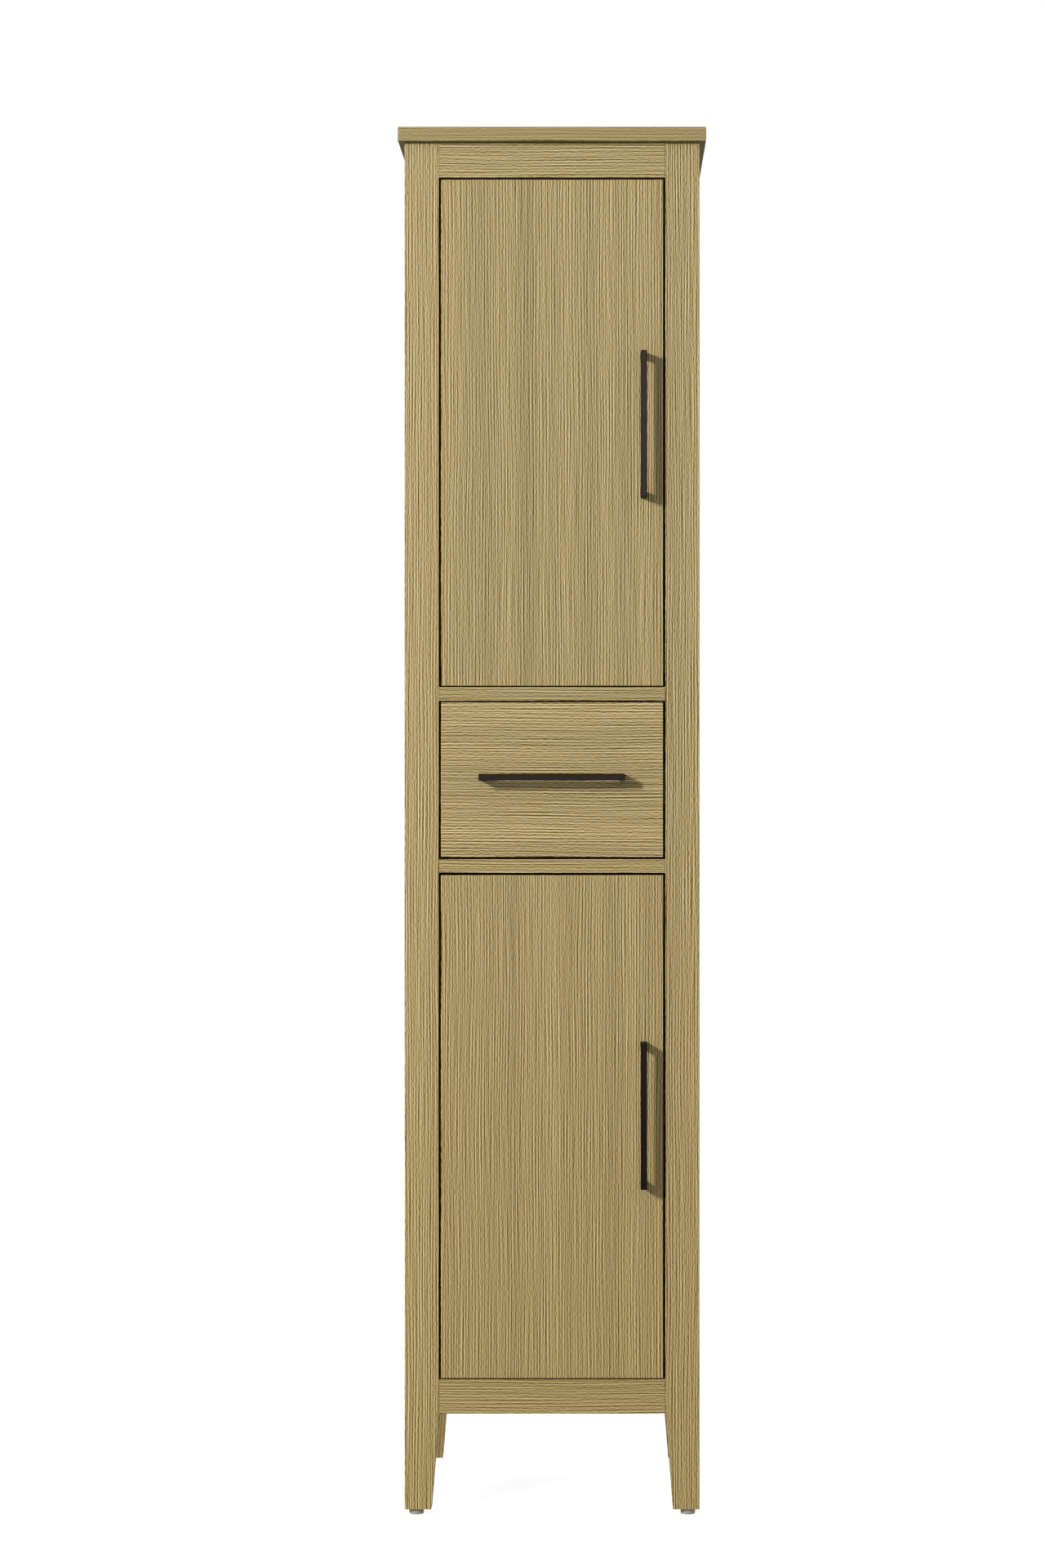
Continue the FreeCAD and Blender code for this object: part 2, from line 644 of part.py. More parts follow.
def door(which, sill, head, handle_raise):
    name = f"{which}_door"
    slab = eased_board(
        name + "_slab", [DOOR_WIDTH, "door_thickness", f"{head} - {sill} - reveal - door_foot_reveal"],
        [f"-{HALF_OPENING} + reveal", FRONT, f"{sill} + door_foot_reveal"], "door_ease", on_front_face)
    middle_z = f"(({sill} + {head}) / 2 + {handle_raise})"
    spots = handle_screw_spots(HANDLE_X, middle_z, True)
    cuts = handle_holes(name + "_handle_hole", spots, FRONT, "door_thickness")
    cups = []
    links = []
    cup_screws = []
    for count, level in enumerate(HINGE_LEVELS[which]):
        cups.append(hinge_cup(f"{which}_hinge_cup_{count}", level))
        links.append(hinge_link(f"{which}_hinge_link_{count}", level))
        cuts.append(cylinder(f"{name}_cup_bore_{count}", "y", "cup_radius + hole_clearance",
                             "cup_depth + hole_clearance",
                             [CUP_X, f"{DOOR_BACK} - cup_depth - hole_clearance", level]))
        for spot, way in enumerate("+-"):
            screw_z = f"{level} {way} cup_screw_spacing / 2"
            cuts.append(cylinder(
                f"{name}_cup_screw_hole_{count}_{spot}", "y", "wood_screw_radius + hole_clearance",
                "wood_screw_bite + hole_clearance",
                [CUP_X, f"{DOOR_BACK} - wood_screw_bite - hole_clearance", screw_z]))
            cup_screws.append(screw(f"{which}_cup_screw_{count}_{spot}", "y", "wood_screw",
                                    "wood_screw_bite + cup_wing_thickness",
                                    [CUP_X, f"{DOOR_BACK} - wood_screw_bite", screw_z],
                                    f"{DOOR_BACK} + cup_wing_thickness"))
    node(cut(name + "_panel", slab, cuts))
    node(group(f"{which}_hinge_cups", cups))
    node(group(f"{which}_hinge_links", links))
    node(group(f"{which}_hinge_cup_screws", cup_screws))
    node(handle(name + "_handle", HANDLE_X, middle_z, True))
    node(handle_screws(name + "_handle_screws", spots, "door_thickness"))


door("upper", UPPER_SILL, UPPER_HEAD, "upper_handle_raise")
door("lower", LOWER_SILL, LOWER_HEAD, "lower_handle_raise")

# Stop blocks on the right post, with bumpers that meet the doors.
stops = []
bumpers = []
STOP_FRONT = f"{DOOR_BACK} + bumper_gap + bumper_thickness"
STOP_X = f"{HALF_OPENING} - stop_width"
for which, sill, head in [("upper", UPPER_SILL, UPPER_HEAD), ("lower", LOWER_SILL, LOWER_HEAD)]:
    stop_unders = {"low": f"{sill} + stop_end_inset", "high": f"{head} - stop_end_inset - stop_height"}
    for level, low_z in stop_unders.items():
        name = f"{which}_{level}"
        stops.append(box(
            name + "_stop", ["stop_width", "stop_depth", "stop_height"], [STOP_X, STOP_FRONT, low_z]))
        bumpers.append(cylinder(name + "_bumper", "y", "bumper_radius", "bumper_thickness",
                                [f"{HALF_OPENING} - stop_width / 2", f"{DOOR_BACK} + bumper_gap",
                                 f"{low_z} + stop_height / 2"]))
node(group("door_stop_blocks", stops))
node(group("door_bumpers", bumpers))

# Drawer: front, box and handle.
DRAWER_MIDDLE_Z = f"(({DRAWER_SILL} + {DRAWER_HEAD}) / 2 + drawer_handle_raise)"
DRAWER_INNER_HALF = f"({DRAWER_BOX_HALF} - drawer_board)"
DRAWER_GRIP = "(door_thickness + drawer_board)"
drawer_spots = handle_screw_spots("0", DRAWER_MIDDLE_Z, False)
drawer_slab = eased_board(
    "drawer_slab", [DOOR_WIDTH, "door_thickness", "drawer_opening_height - reveal - drawer_head_reveal"],
    [f"-{HALF_OPENING} + reveal", FRONT, f"{DRAWER_SILL} + reveal"], "door_ease", on_front_face)
drawer_bottom = box(
    "drawer_bottom",
    [f"2 * ({DRAWER_INNER_HALF} + drawer_groove)",
     "drawer_box_depth - 2 * drawer_board + 2 * drawer_groove", "drawer_bottom_thickness"],
    [f"-({DRAWER_INNER_HALF} + drawer_groove)", f"{DOOR_BACK} + drawer_board - drawer_groove",
     f"{DRAWER_BOX_FLOOR} + drawer_bottom_rise"])
drawer_handle_holes = handle_holes("drawer_handle_hole", drawer_spots, FRONT, DRAWER_GRIP)
node(cut("drawer_front", drawer_slab, drawer_handle_holes))
node(drawer_bottom)
for side, sign in SIDES.items():
    side_blank = box(f"drawer_{side}_blank", ["drawer_board", "drawer_box_depth", "drawer_box_height"],
                     [mirrored_low(sign, DRAWER_INNER_HALF, "drawer_board"), DOOR_BACK, DRAWER_BOX_FLOOR])
    node(cut(f"drawer_{side}_side", side_blank, [drawer_bottom]))
for name, low_y, holes in [
        ("drawer_inner_front", DOOR_BACK, drawer_handle_holes),
        ("drawer_back", f"{DOOR_BACK} + drawer_box_depth - drawer_board", [])]:
    end_blank = box(name + "_blank", [f"2 * {DRAWER_INNER_HALF}", "drawer_board", "drawer_box_height"],
                    [f"-{DRAWER_INNER_HALF}", low_y, DRAWER_BOX_FLOOR])
    node(cut(name, end_blank, [drawer_bottom] + holes))
node(handle("drawer_handle", "0", DRAWER_MIDDLE_Z, False))
node(handle_screws("drawer_handle_screws", drawer_spots, DRAWER_GRIP))

# Drawer slides: three nested channels on each side, the outer one on the post and a batten.
# Each step inwards takes a wall and a running gap off the channel.
SLIDE_STEP = "(slide_wall + slide_gap)"
SLIDE_PARTS = {"outer": 0, "middle": 1, "inner": 2}


def slide_channel(name, sign, nesting):
    """The inner channel faces outwards, the other two face the drawer."""
    height = f"(slide_height - {2 * nesting} * {SLIDE_STEP})"
    near = f"{HALF_OPENING} - slide_thickness"
    if nesting < SLIDE_PARTS["inner"]:
        length_x = f"(slide_thickness - {SLIDE_STEP} - {nesting} * {SLIDE_STEP})"
        stock_near = f"{near} + {SLIDE_STEP}"
        hollow_near = stock_near
    else:
        length_x = f"(slide_thickness - {nesting} * {SLIDE_STEP})"
        stock_near = near
        hollow_near = f"{near} + slide_wall"
    hollow_x = f"({length_x} - slide_wall)"
    stock = box(name + "_stock", [length_x, "slide_length", height],
                [mirrored_low(sign, stock_near, length_x), f"{FRONT} + slide_setback",
                 f"{SLIDE_Z} - {height} / 2"])
    hollow = box(name + "_hollow", [hollow_x, "slide_length", f"{height} - 2 * slide_wall"],
                 [mirrored_low(sign, hollow_near, hollow_x), f"{FRONT} + slide_setback",
                  f"{SLIDE_Z} - {height} / 2 + slide_wall"])
    return cut(name, stock, [hollow])


for part, nesting in SLIDE_PARTS.items():
    channels = [slide_channel(f"{side}_slide_{part}", sign, nesting) for side, sign in SIDES.items()]
    node(group(f"drawer_slide_{part}_members", channels))
for side, sign in SIDES.items():
    node(box(f"{side}_drawer_batten",
             [f"{HALF_INSIDE} - {HALF_OPENING}", "body_depth - 2 * post_depth", "batten_height"],
             [mirrored_low(sign, HALF_OPENING, f"({HALF_INSIDE} - {HALF_OPENING})"), POST_BACK,
              f"{SLIDE_Z} - batten_height / 2"]))

# Glides under the legs, each held by a nail.
glides = []
nails = []
for side in SIDES:
    for end in ENDS:
        name = f"{end}_{side}_glide"
        x, y = glide_middle(side, end)
        body = doc.addObject("PartDesign::Body", name + "_disc")
        disc = body.newObject("PartDesign::AdditiveCone", name + "_cone")
        bind(disc, Radius1="glide_bottom_radius", Radius2="glide_top_radius", Height="glide_height")
        place(disc, [x, y, "0"])
        ease_edges(body, disc, "glide_ease", on_underside)
        hole = cylinder(name + "_hole", "z", "nail_radius + hole_clearance", "glide_height - nail_sink",
                        [x, y, "nail_sink"])
        glides.append(cut(name, body, [hole]))
        nails.append(cylinder(name + "_nail", "z", "nail_radius", "nail_length", [x, y, "nail_sink"]))
node(group("leg_glides", glides))
node(group("glide_nails", nails))

doc.recompute()
for piece in doc.Objects:
    if "Invalid" in piece.State or "Error" in piece.State:
        raise RuntimeError(f"{piece.Name} failed: {piece.State}")
for piece in nodes:
    if piece.Shape.isNull() or not piece.Shape.isValid() or not piece.Shape.Solids:
        raise RuntimeError(f"{piece.Label} has no valid solid")

os.makedirs("parts", exist_ok=True)
for piece in nodes:
    piece.Shape.exportStep(f"parts/{piece.Label}.step")
    print(piece.Label, len(piece.Shape.Solids), round(piece.Shape.Volume))
print(len(nodes), "nodes")
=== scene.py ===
import json
import math
import random

import bpy
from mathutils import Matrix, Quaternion, Vector


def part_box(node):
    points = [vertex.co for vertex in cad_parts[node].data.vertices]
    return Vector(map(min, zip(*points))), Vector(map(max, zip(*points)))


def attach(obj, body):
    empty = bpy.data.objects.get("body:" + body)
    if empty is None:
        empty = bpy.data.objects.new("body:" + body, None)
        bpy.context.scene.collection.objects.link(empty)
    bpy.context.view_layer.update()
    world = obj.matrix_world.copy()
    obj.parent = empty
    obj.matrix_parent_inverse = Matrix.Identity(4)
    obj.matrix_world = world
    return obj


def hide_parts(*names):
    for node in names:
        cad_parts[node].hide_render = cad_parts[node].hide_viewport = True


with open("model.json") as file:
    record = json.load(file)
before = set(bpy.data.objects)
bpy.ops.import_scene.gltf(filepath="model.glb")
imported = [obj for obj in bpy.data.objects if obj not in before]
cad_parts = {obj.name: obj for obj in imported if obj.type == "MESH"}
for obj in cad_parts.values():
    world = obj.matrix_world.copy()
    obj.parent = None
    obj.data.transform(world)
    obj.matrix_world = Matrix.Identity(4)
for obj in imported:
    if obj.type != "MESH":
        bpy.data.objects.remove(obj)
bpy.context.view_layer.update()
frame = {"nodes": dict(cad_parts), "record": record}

nodes = frame["nodes"]
print("frame loaded:", len(nodes), "nodes")


def colour(red, green, blue):
    # a colour as seen on screen, 0 to 255, turned into linear light
    linear = []
    for part in (red, green, blue):
        value = part / 255
        linear.append(value / 12.92 if value <= 0.04045 else ((value + 0.055) / 1.055) ** 2.4)
    return (*linear, 1.0)


def darkened(tint, share):
    return (*(part * share for part in tint[:3]), 1.0)


class Wire:
    # one output of a node, with arithmetic that adds Math nodes
    def __init__(self, network, socket):
        self.network = network
        self.socket = socket

    def __add__(self, other):
        return self.network.maths("ADD", self, other)

    def __radd__(self, other):
        return self.network.maths("ADD", other, self)

    def __sub__(self, other):
        return self.network.maths("SUBTRACT", self, other)

    def __rsub__(self, other):
        return self.network.maths("SUBTRACT", other, self)

    def __mul__(self, other):
        return self.network.maths("MULTIPLY", self, other)

    def __rmul__(self, other):
        return self.network.maths("MULTIPLY", other, self)


class Network:
    # the nodes of one material or world
    def __init__(self, owner):
        owner.use_nodes = True
        self.tree = owner.node_tree

    def add(self, kind, settings=None, values=None, out=0):
        node = self.tree.nodes.new(kind)
        for name, value in (settings or {}).items():
            if name == "stops":
                self.setStops(node.color_ramp, value)
            else:
                setattr(node, name, value)
        for socket, value in (values or {}).items():
            self.plug(node.inputs[socket], value)
        return Wire(self, node.outputs[out])

    def setStops(self, ramp, stops):
        while len(ramp.elements) < len(stops):
            ramp.elements.new(1.0)
        for element, (place, tint) in zip(ramp.elements, stops):
            element.position = place
            element.color = tint

    def plug(self, socket, value):
        if isinstance(value, Wire):
            self.tree.links.new(value.socket, socket)
        else:
            socket.default_value = value

    def maths(self, operation, *values):
        return self.add("ShaderNodeMath", {"operation": operation}, dict(enumerate(values)))


class Finish(Network):
    # one material with its shader
    def __init__(self, name, **constants):
        self.material = bpy.data.materials.new(name)
        super().__init__(self.material)
        self.shader = self.tree.nodes["Principled BSDF"]
        for socket, value in constants.items():
            self.shader.inputs[socket.replace("_", " ")].default_value = value

    def give(self, socket, wire):
        self.tree.links.new(wire.socket, self.shader.inputs[socket])

    def place(self):
        # where a point of the piece lies, in metres
        return self.add("ShaderNodeTexCoord", out="Object")

    def parts(self, vector):
        # x, y and z of a vector
        node = self.add("ShaderNodeSeparateXYZ", {}, {0: vector}).socket.node
        return [Wire(self, socket) for socket in node.outputs]

    def grade(self, value, start, end, first=0.0, last=1.0):
        # from first to last while the value goes from start to end
        return self.add("ShaderNodeMapRange", {}, {0: value, 1: start, 2: end, 3: first, 4: last})

    def blend(self, factor, first, second, kind="MIX"):
        # sockets 0, 6 and 7 of a colour Mix node are its factor and two colours
        return self.add("ShaderNodeMix", {"data_type": "RGBA", "blend_type": kind},
                        {0: factor, 6: first, 7: second}, out=2)

    def noise(self, place, scale, detail=2.0):
        return self.add("ShaderNodeTexNoise", {"noise_dimensions": "3D"},
                        {"Vector": place, "Scale": scale, "Detail": detail})

    def bump(self, height, strength, distance):
        relief = self.add("ShaderNodeBump", {},
                          {"Height": height, "Strength": strength, "Distance": distance})
        self.give("Normal", relief)


middle = 0.5        # the mean of a noise, and the middle of a colour ramp

# oak: straight rift-sawn grain, fine light and dark lines lengthwise on each piece
oak = {
    # the grain's colours from dark to light, each with its place on the ramp
    "tones": [(0.0, colour(70, 50, 0)), (0.24, colour(111, 91, 36)), (middle, colour(166, 147, 100)),
              (0.76, colour(204, 185, 142)), (1.0, colour(226, 208, 168))],
    # each pattern: metres across the grain, metres along it, and its share of the contrast
    "lines": {"width": 0.00145, "length": 0.13, "share": 0.8},
    "flecks": {"width": 0.0011, "length": 0.007, "share": 0.62},
    "bands": {"width": 0.026, "length": 4.0, "share": 0.14},
    "pitch": {"width": 0.0040, "share": 0.13},
    "stray": {"width": 0.03, "length": 0.5, "reach": 7.0},          # pitch lines off an even step, radians
    "sway": {"width": 0.08, "length": 0.2, "reach": 0.003},         # slow wander of the lines, metres
    "ripple": {"width": 0.01, "length": 0.016, "reach": 0.0003},    # short wiggle of the lines
    "paintedHighlightStep": 0.6,                    # from a dark line to the painted highlight beside it, in widths
    "startSpread": 20.0,                # each piece begins elsewhere in the patterns
    "warmTop": 1.2, "warmGreen": 0.955, "warmBlue": 0.83,   # shares left at the floor, full from this height
    "edgeWidth": 0.0013,
    "specular": 0.1, "roughness": 0.62, "roughnessSwing": 0.3,
    "relief": 0.06, "reliefDepth": 0.0004,
    "endFacing": 0.7,                   # faces that look this far along the grain get a veneer band
}


def oakFinish(name, grain, seed, box, tint=1.0, contrast=1.0, edges=None):
    finish = Finish(name, Specular_IOR_Level=oak["specular"])
    draw = random.Random(seed)
    low, high = box
    along = "XYZ".index(grain)
    band = max((axis for axis in range(3) if axis != along), key=lambda axis: high[axis] - low[axis])
    spots = finish.parts(finish.place())
    facing = finish.parts(finish.add("ShaderNodeTexCoord", out="Normal"))
    ends = finish.maths("GREATER_THAN", finish.maths("ABSOLUTE", facing[along]), oak["endFacing"])
    turned = ends * (spots[band] - spots[along])     # on an end the grain runs along the veneer band instead
    lengthwise = spots[along] + turned
    across = spots[along - 1] + spots[along - 2] - turned

    def flatNoise(spot, pattern, aside=0.0):
        # noise on the unrolled face: across the grain and along it
        scale = (1 / pattern["width"], 1 / pattern["length"], 1.0)
        shift = (pattern["start"] + aside, pattern["start"], 0.0)
        scaled = finish.add("ShaderNodeMapping", {"vector_type": "POINT"},
                            {"Vector": spot, "Location": shift, "Scale": scale})
        return finish.add("ShaderNodeTexNoise", {"noise_dimensions": "2D"},
                          {"Vector": scaled, "Scale": 1.0, "Detail": 0.0})

    def started(key):
        return {**oak[key], "start": draw.uniform(-oak["startSpread"], oak["startSpread"])}

    def spotAt(offset):
        return finish.add("ShaderNodeCombineXYZ", {}, {0: offset, 1: lengthwise, 2: 0.0})

    def streaks(key):
        # the dark grain lines, each with a painted highlight beside it: the pattern less itself a step aside
        pattern = started(key)
        beside = flatNoise(grainSpot, pattern, oak["paintedHighlightStep"])
        return (flatNoise(grainSpot, pattern) - beside) * pattern["share"]

    straight = spotAt(across)
    bent = across
    for key in ("sway", "ripple"):
        bent = bent + (flatNoise(straight, started(key)) - middle) * oak[key]["reach"]
    grainSpot = spotAt(bent)
    stray = flatNoise(grainSpot, started("stray")) * oak["stray"]["reach"]
    phase = bent * (2 * math.pi / oak["pitch"]["width"]) + stray
    pitch = finish.maths("SINE", phase) * oak["pitch"]["share"]
    grainValue = streaks("lines") + streaks("flecks") + pitch
    tone = finish.add("ShaderNodeValToRGB", {"stops": oak["tones"]}, {0: grainValue * contrast + middle})
    level = (flatNoise(grainSpot, started("bands")) - middle) * (2 * oak["bands"]["share"] * tint) + tint
    green = finish.grade(spots[2], 0.0, oak["warmTop"], oak["warmGreen"])
    blue = finish.grade(spots[2], 0.0, oak["warmTop"], oak["warmBlue"])
    # painted highlight on eased borders, and painted shade at the rails' joints and on undersides
    if edges:
        level = level * paintedEdgeLightAndShade(finish, spots, facing[2], box, edges)
    shade = finish.add("ShaderNodeCombineColor", {}, {0: level, 1: level * green, 2: level * blue})
    finish.give("Base Color", finish.blend(1.0, tone, shade, "MULTIPLY"))
    finish.give("Roughness", oak["roughness"] - grainValue * oak["roughnessSwing"])
    finish.bump(grainValue, oak["relief"], oak["reliefDepth"])
    return finish.material


def nearest(finish, spot, low, high):
    # how far a place is from the nearer of two ends
    return finish.maths("MINIMUM", spot - low, high - spot)


def paintedEdgeLightAndShade(finish, spots, upward, box, edges):
    # painted highlight or painted shade in a narrow border of a front, and painted shade on faces that look
    # down
    tone = 1.0
    for axis, border in ((0, edges["ends"]), (2, edges["rims"])):
        near = nearest(finish, spots[axis], box[0][axis], box[1][axis])
        tone = tone * finish.grade(near, 0.0, oak["edgeWidth"], border)
    below = finish.maths("LESS_THAN", upward, -oak["endFacing"])
    return tone * (1.0 - below * (1.0 - edges["under"]))


def dress(name, material):
    piece = nodes[name]
    piece.data.materials.clear()
    piece.data.materials.append(material)


uprightOak = ["front_left_post", "front_right_post", "rear_left_post", "rear_right_post",
              "upper_door_panel", "lower_door_panel", "left_side_panel", "right_side_panel", "back_panel"]
crossOak = ["top_panel", "top_rail", "upper_middle_rail", "lower_middle_rail", "bottom_rail", "drawer_front",
            "bottom_panel", "lower_divider", "upper_divider",
            "lower_shelf", "upper_low_shelf", "upper_high_shelf", "rear_top_rail", "rear_bottom_rail"]
# brightness and contrast of the grain, where they aren't 1; the rear posts are darker as painted shade
oakTones = {"top_panel": (0.835, 0.42), "top_rail": (0.965, 0.88), "bottom_rail": (1.0, 0.85),
            "upper_middle_rail": (0.92, 0.8), "lower_middle_rail": (0.92, 0.8), "drawer_front": (0.97, 1.0),
            "upper_door_panel": (0.955, 0.9), "lower_door_panel": (0.96, 0.9),
            "front_left_post": (1.02, 0.95), "rear_left_post": (0.9, 0.7), "rear_right_post": (0.9, 0.7)}
# painted highlight on the eased edges of fronts, rails and the top, painted shade in a dark line where the
# rails meet the posts, and painted shade on undersides
frontEdges = {"ends": 1.2, "rims": 1.2, "under": 0.8}
railEdges = {"ends": 0.45, "rims": 1.2, "under": 0.5}
oakEdges = {"upper_door_panel": frontEdges, "lower_door_panel": frontEdges, "drawer_front": frontEdges,
            "top_panel": {"ends": 1.0, "rims": 1.15, "under": 0.45}, "top_rail": railEdges,
            "upper_middle_rail": railEdges, "lower_middle_rail": railEdges, "bottom_rail": railEdges}
for seed, name in enumerate(uprightOak + crossOak):
    tint, contrast = oakTones.get(name, (1.0, 1.0))
    grain = "Z" if name in uprightOak else "X"
    dress(name, oakFinish(name + "Oak", grain, seed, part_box(name), tint, contrast, oakEdges.get(name)))

# pale wood with a calmer grain for what stays inside, and the blocks behind the doors' gaps darkened as
# painted shade
plainWood = ["top_cleats", "door_stop_blocks", "left_drawer_batten", "right_drawer_batten",
             "drawer_left_side", "drawer_right_side", "drawer_inner_front", "drawer_back", "drawer_bottom"]
crossWood = ("drawer_inner_front", "drawer_back", "drawer_bottom")
woodLook = {"tint": 1.12, "blockPaintedShade": 0.45, "contrast": 0.6, "firstSeed": 100}
for seed, name in enumerate(plainWood, woodLook["firstSeed"]):
    grain = "X" if name in crossWood else "Y"
    # the stop blocks are darkened as painted shade
    tint = woodLook["blockPaintedShade"] if name == "door_stop_blocks" else woodLook["tint"]
    dress(name, oakFinish(name + "Wood", grain, seed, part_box(name), tint, woodLook["contrast"]))
print("oak dressed:", len(uprightOak) + len(crossOak) + len(plainWood), "nodes")

# satin black powder coat on the handles, lighter higher up as painted light, with painted shade along its
# rim
blackCoat = {"dark": colour(12, 8, 6), "light": colour(56, 47, 42), "rimColour": colour(0, 0, 0),
             "darkBelow": 0.45, "lightAbove": 1.45, "heightShare": 0.8, "cloudShare": 0.2,
             "rim": 0.1, "rimWidth": 0.0017, "speckleScale": 900.0, "cloudScale": 25.0,
             "specular": 0.06, "roughness": 0.45, "roughnessSwing": 0.2,
             "relief": 0.12, "reliefDepth": 0.0002}


def blackFinish(name):
    finish = Finish(name + "Black", Specular_IOR_Level=blackCoat["specular"])
    place = finish.place()
    speckle = finish.noise(place, blackCoat["speckleScale"])
    cloud = finish.noise(place, blackCoat["cloudScale"])
    spots = finish.parts(place)
    # painted light: the coat grows lighter the higher it stands
    paintedHeightLight = finish.grade(spots[2], blackCoat["darkBelow"], blackCoat["lightAbove"])
    coat = finish.blend(paintedHeightLight * blackCoat["heightShare"] + cloud * blackCoat["cloudShare"],
                        blackCoat["dark"], blackCoat["light"])
    # painted shade: the coat turns black along the handle's borders
    low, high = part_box(name)
    rim = 1.0
    for axis in (0, 2):
        near = nearest(finish, spots[axis], low[axis], high[axis])
        rim = rim * finish.grade(near, 0.0, blackCoat["rimWidth"], blackCoat["rim"])
    finish.give("Base Color", finish.blend(1.0 - rim, coat, blackCoat["rimColour"]))
    finish.give("Roughness", blackCoat["roughness"] + (speckle - middle) * blackCoat["roughnessSwing"])
    finish.bump(speckle, blackCoat["relief"], blackCoat["reliefDepth"])
    return finish.material


for name in ("upper_door_handle", "lower_door_handle", "drawer_handle"):
    dress(name, blackFinish(name))

# plated steel of hinges, slides and screws
steel = {"nickel": {"tint": colour(196, 192, 184), "roughness": 0.5},
         "zinc": {"tint": colour(178, 182, 188), "roughness": 0.38},
         "shadeCap": colour(12, 12, 12), "shadeCapDepth": 0.003,
         "brush": (900, 40, 900), "patchScale": 60.0, "patchShade": 0.8,
         "roughnessSwing": 0.2, "relief": 0.08, "reliefDepth": 0.0001}


def steelFinish(name, plate, shadeCapFrom=None):
    finish = Finish(name, Metallic=1.0)
    place = finish.place()
    stretch = finish.add("ShaderNodeMapping", {"vector_type": "POINT"},
                         {"Vector": place, "Scale": steel["brush"]})
    brush = finish.noise(stretch, 1.0)
    patch = finish.noise(place, steel["patchScale"])
    plating = finish.blend(patch, darkened(plate["tint"], steel["patchShade"]), plate["tint"])
    if shadeCapFrom is not None:
        # painted shade: black and not metallic over the first few millimetres behind the front, to keep the
        # gaps dark
        shadeCap = finish.maths("LESS_THAN", finish.parts(place)[1], shadeCapFrom + steel["shadeCapDepth"])
        plating = finish.blend(shadeCap, plating, steel["shadeCap"])
        finish.give("Metallic", 1.0 - shadeCap)
    finish.give("Base Color", plating)
    finish.give("Roughness", plate["roughness"] + (brush - middle) * steel["roughnessSwing"])
    finish.bump(brush, steel["relief"], steel["reliefDepth"])
    return finish.material


nickelPlate = steelFinish("nickelPlate", steel["nickel"])
zincPlate = steelFinish("zincPlate", steel["zinc"])
plates = {"nickel_hinge": nickelPlate, "zinc_steel": zincPlate}
for row in frame["record"]["subparts"]:
    if row["material_slot"] in plates:
        dress(row["node"], plates[row["material_slot"]])
# the slides' and hinge plates' fronts take the painted shade
slideZinc = steelFinish("slideZinc", steel["zinc"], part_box("drawer_slide_inner_members")[0].y)
for name in ("outer", "middle", "inner"):
    dress("drawer_slide_%s_members" % name, slideZinc)
dress("hinge_plates", steelFinish("plateNickel", steel["nickel"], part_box("hinge_plates")[0].y))

# moulded plastic of the glides and the bumpers
plastic = {"glide": {"tint": colour(176, 171, 158), "roughness": 0.5},
           "bumper": {"tint": colour(212, 212, 206), "roughness": 0.35},
           "cloudScale": 120.0, "cloudDetail": 3.0, "cloudShade": 0.86,
           "roughnessSwing": 0.16, "relief": 0.1, "reliefDepth": 0.0002}


def plasticFinish(name, kind):
    finish = Finish(name)
    cloud = finish.noise(finish.place(), plastic["cloudScale"], plastic["cloudDetail"])
    darker = darkened(kind["tint"], plastic["cloudShade"])
    finish.give("Base Color", finish.blend(cloud, darker, kind["tint"]))
    finish.give("Roughness", kind["roughness"] + (cloud - middle) * plastic["roughnessSwing"])
    finish.bump(cloud, plastic["relief"], plastic["reliefDepth"])
    return finish.material


dress("leg_glides", plasticFinish("glideGrey", plastic["glide"]))
bumperClear = plasticFinish("bumperClear", plastic["bumper"])
print("hardware dressed")

levelFace = 0.9         # a face counts as level when its normal points this far up or down
discSides = 28


def pickFaces(piece, wanted):
    # in edit mode, selects the faces that wanted says yes to
    bpy.ops.mesh.select_all(action="DESELECT")
    bpy.ops.object.mode_set(mode="OBJECT")
    for face in piece.data.polygons:
        face.select = wanted(face)
    bpy.ops.object.mode_set(mode="EDIT")


def looksUp(face):
    return face.normal.z > levelFace


def looksDown(face):
    return face.normal.z < -levelFace


def startDisc(radius, height):
    # a disc whose top is at the origin, left in edit mode with faces to select
    bpy.ops.object.select_all(action="DESELECT")
    bpy.ops.mesh.primitive_cylinder_add(vertices=discSides, radius=radius, depth=height,
                                        location=(0, 0, -height / 2))
    bpy.ops.object.transform_apply()
    bpy.ops.object.mode_set(mode="EDIT")
    bpy.ops.mesh.select_mode(type="FACE")
    return bpy.context.object


# cross-headed screws: shares of the head's radius and height, and of the shank for its point
screwShape = {"shank": 0.5, "point": 0.12, "pointLength": 0.1,
              "dome": 0.55, "domeSegments": 4, "smoothAngle": 35,
              "crossLength": 1.15, "crossWidth": 0.27, "crossDepth": 0.62, "crossFoot": 0.6}


def makeScrew(radius, headHeight, length, crossed=True):
    screw = startDisc(radius, headHeight)
    pickFaces(screw, looksUp)
    bpy.ops.mesh.bevel(offset=headHeight * screwShape["dome"], segments=screwShape["domeSegments"],
                       affect="EDGES")
    pickFaces(screw, looksDown)
    bpy.ops.mesh.inset(thickness=radius * (1 - screwShape["shank"]))
    shank = length - headHeight
    tip = shank * screwShape["pointLength"]
    bpy.ops.mesh.extrude_region_move(TRANSFORM_OT_translate={"value": (0, 0, tip - shank)})
    bpy.ops.mesh.extrude_region_move(TRANSFORM_OT_translate={"value": (0, 0, -tip)})
    narrow = screwShape["point"]
    bpy.ops.transform.resize(value=(narrow, narrow, 1), center_override=(0, 0, -length))
    bpy.ops.object.mode_set(mode="OBJECT")
    if crossed:
        for turn in (0, 90):
            cutSlot(screw, radius, headHeight, math.radians(turn))
    bpy.ops.object.shade_smooth_by_angle(angle=math.radians(screwShape["smoothAngle"]))
    return screw


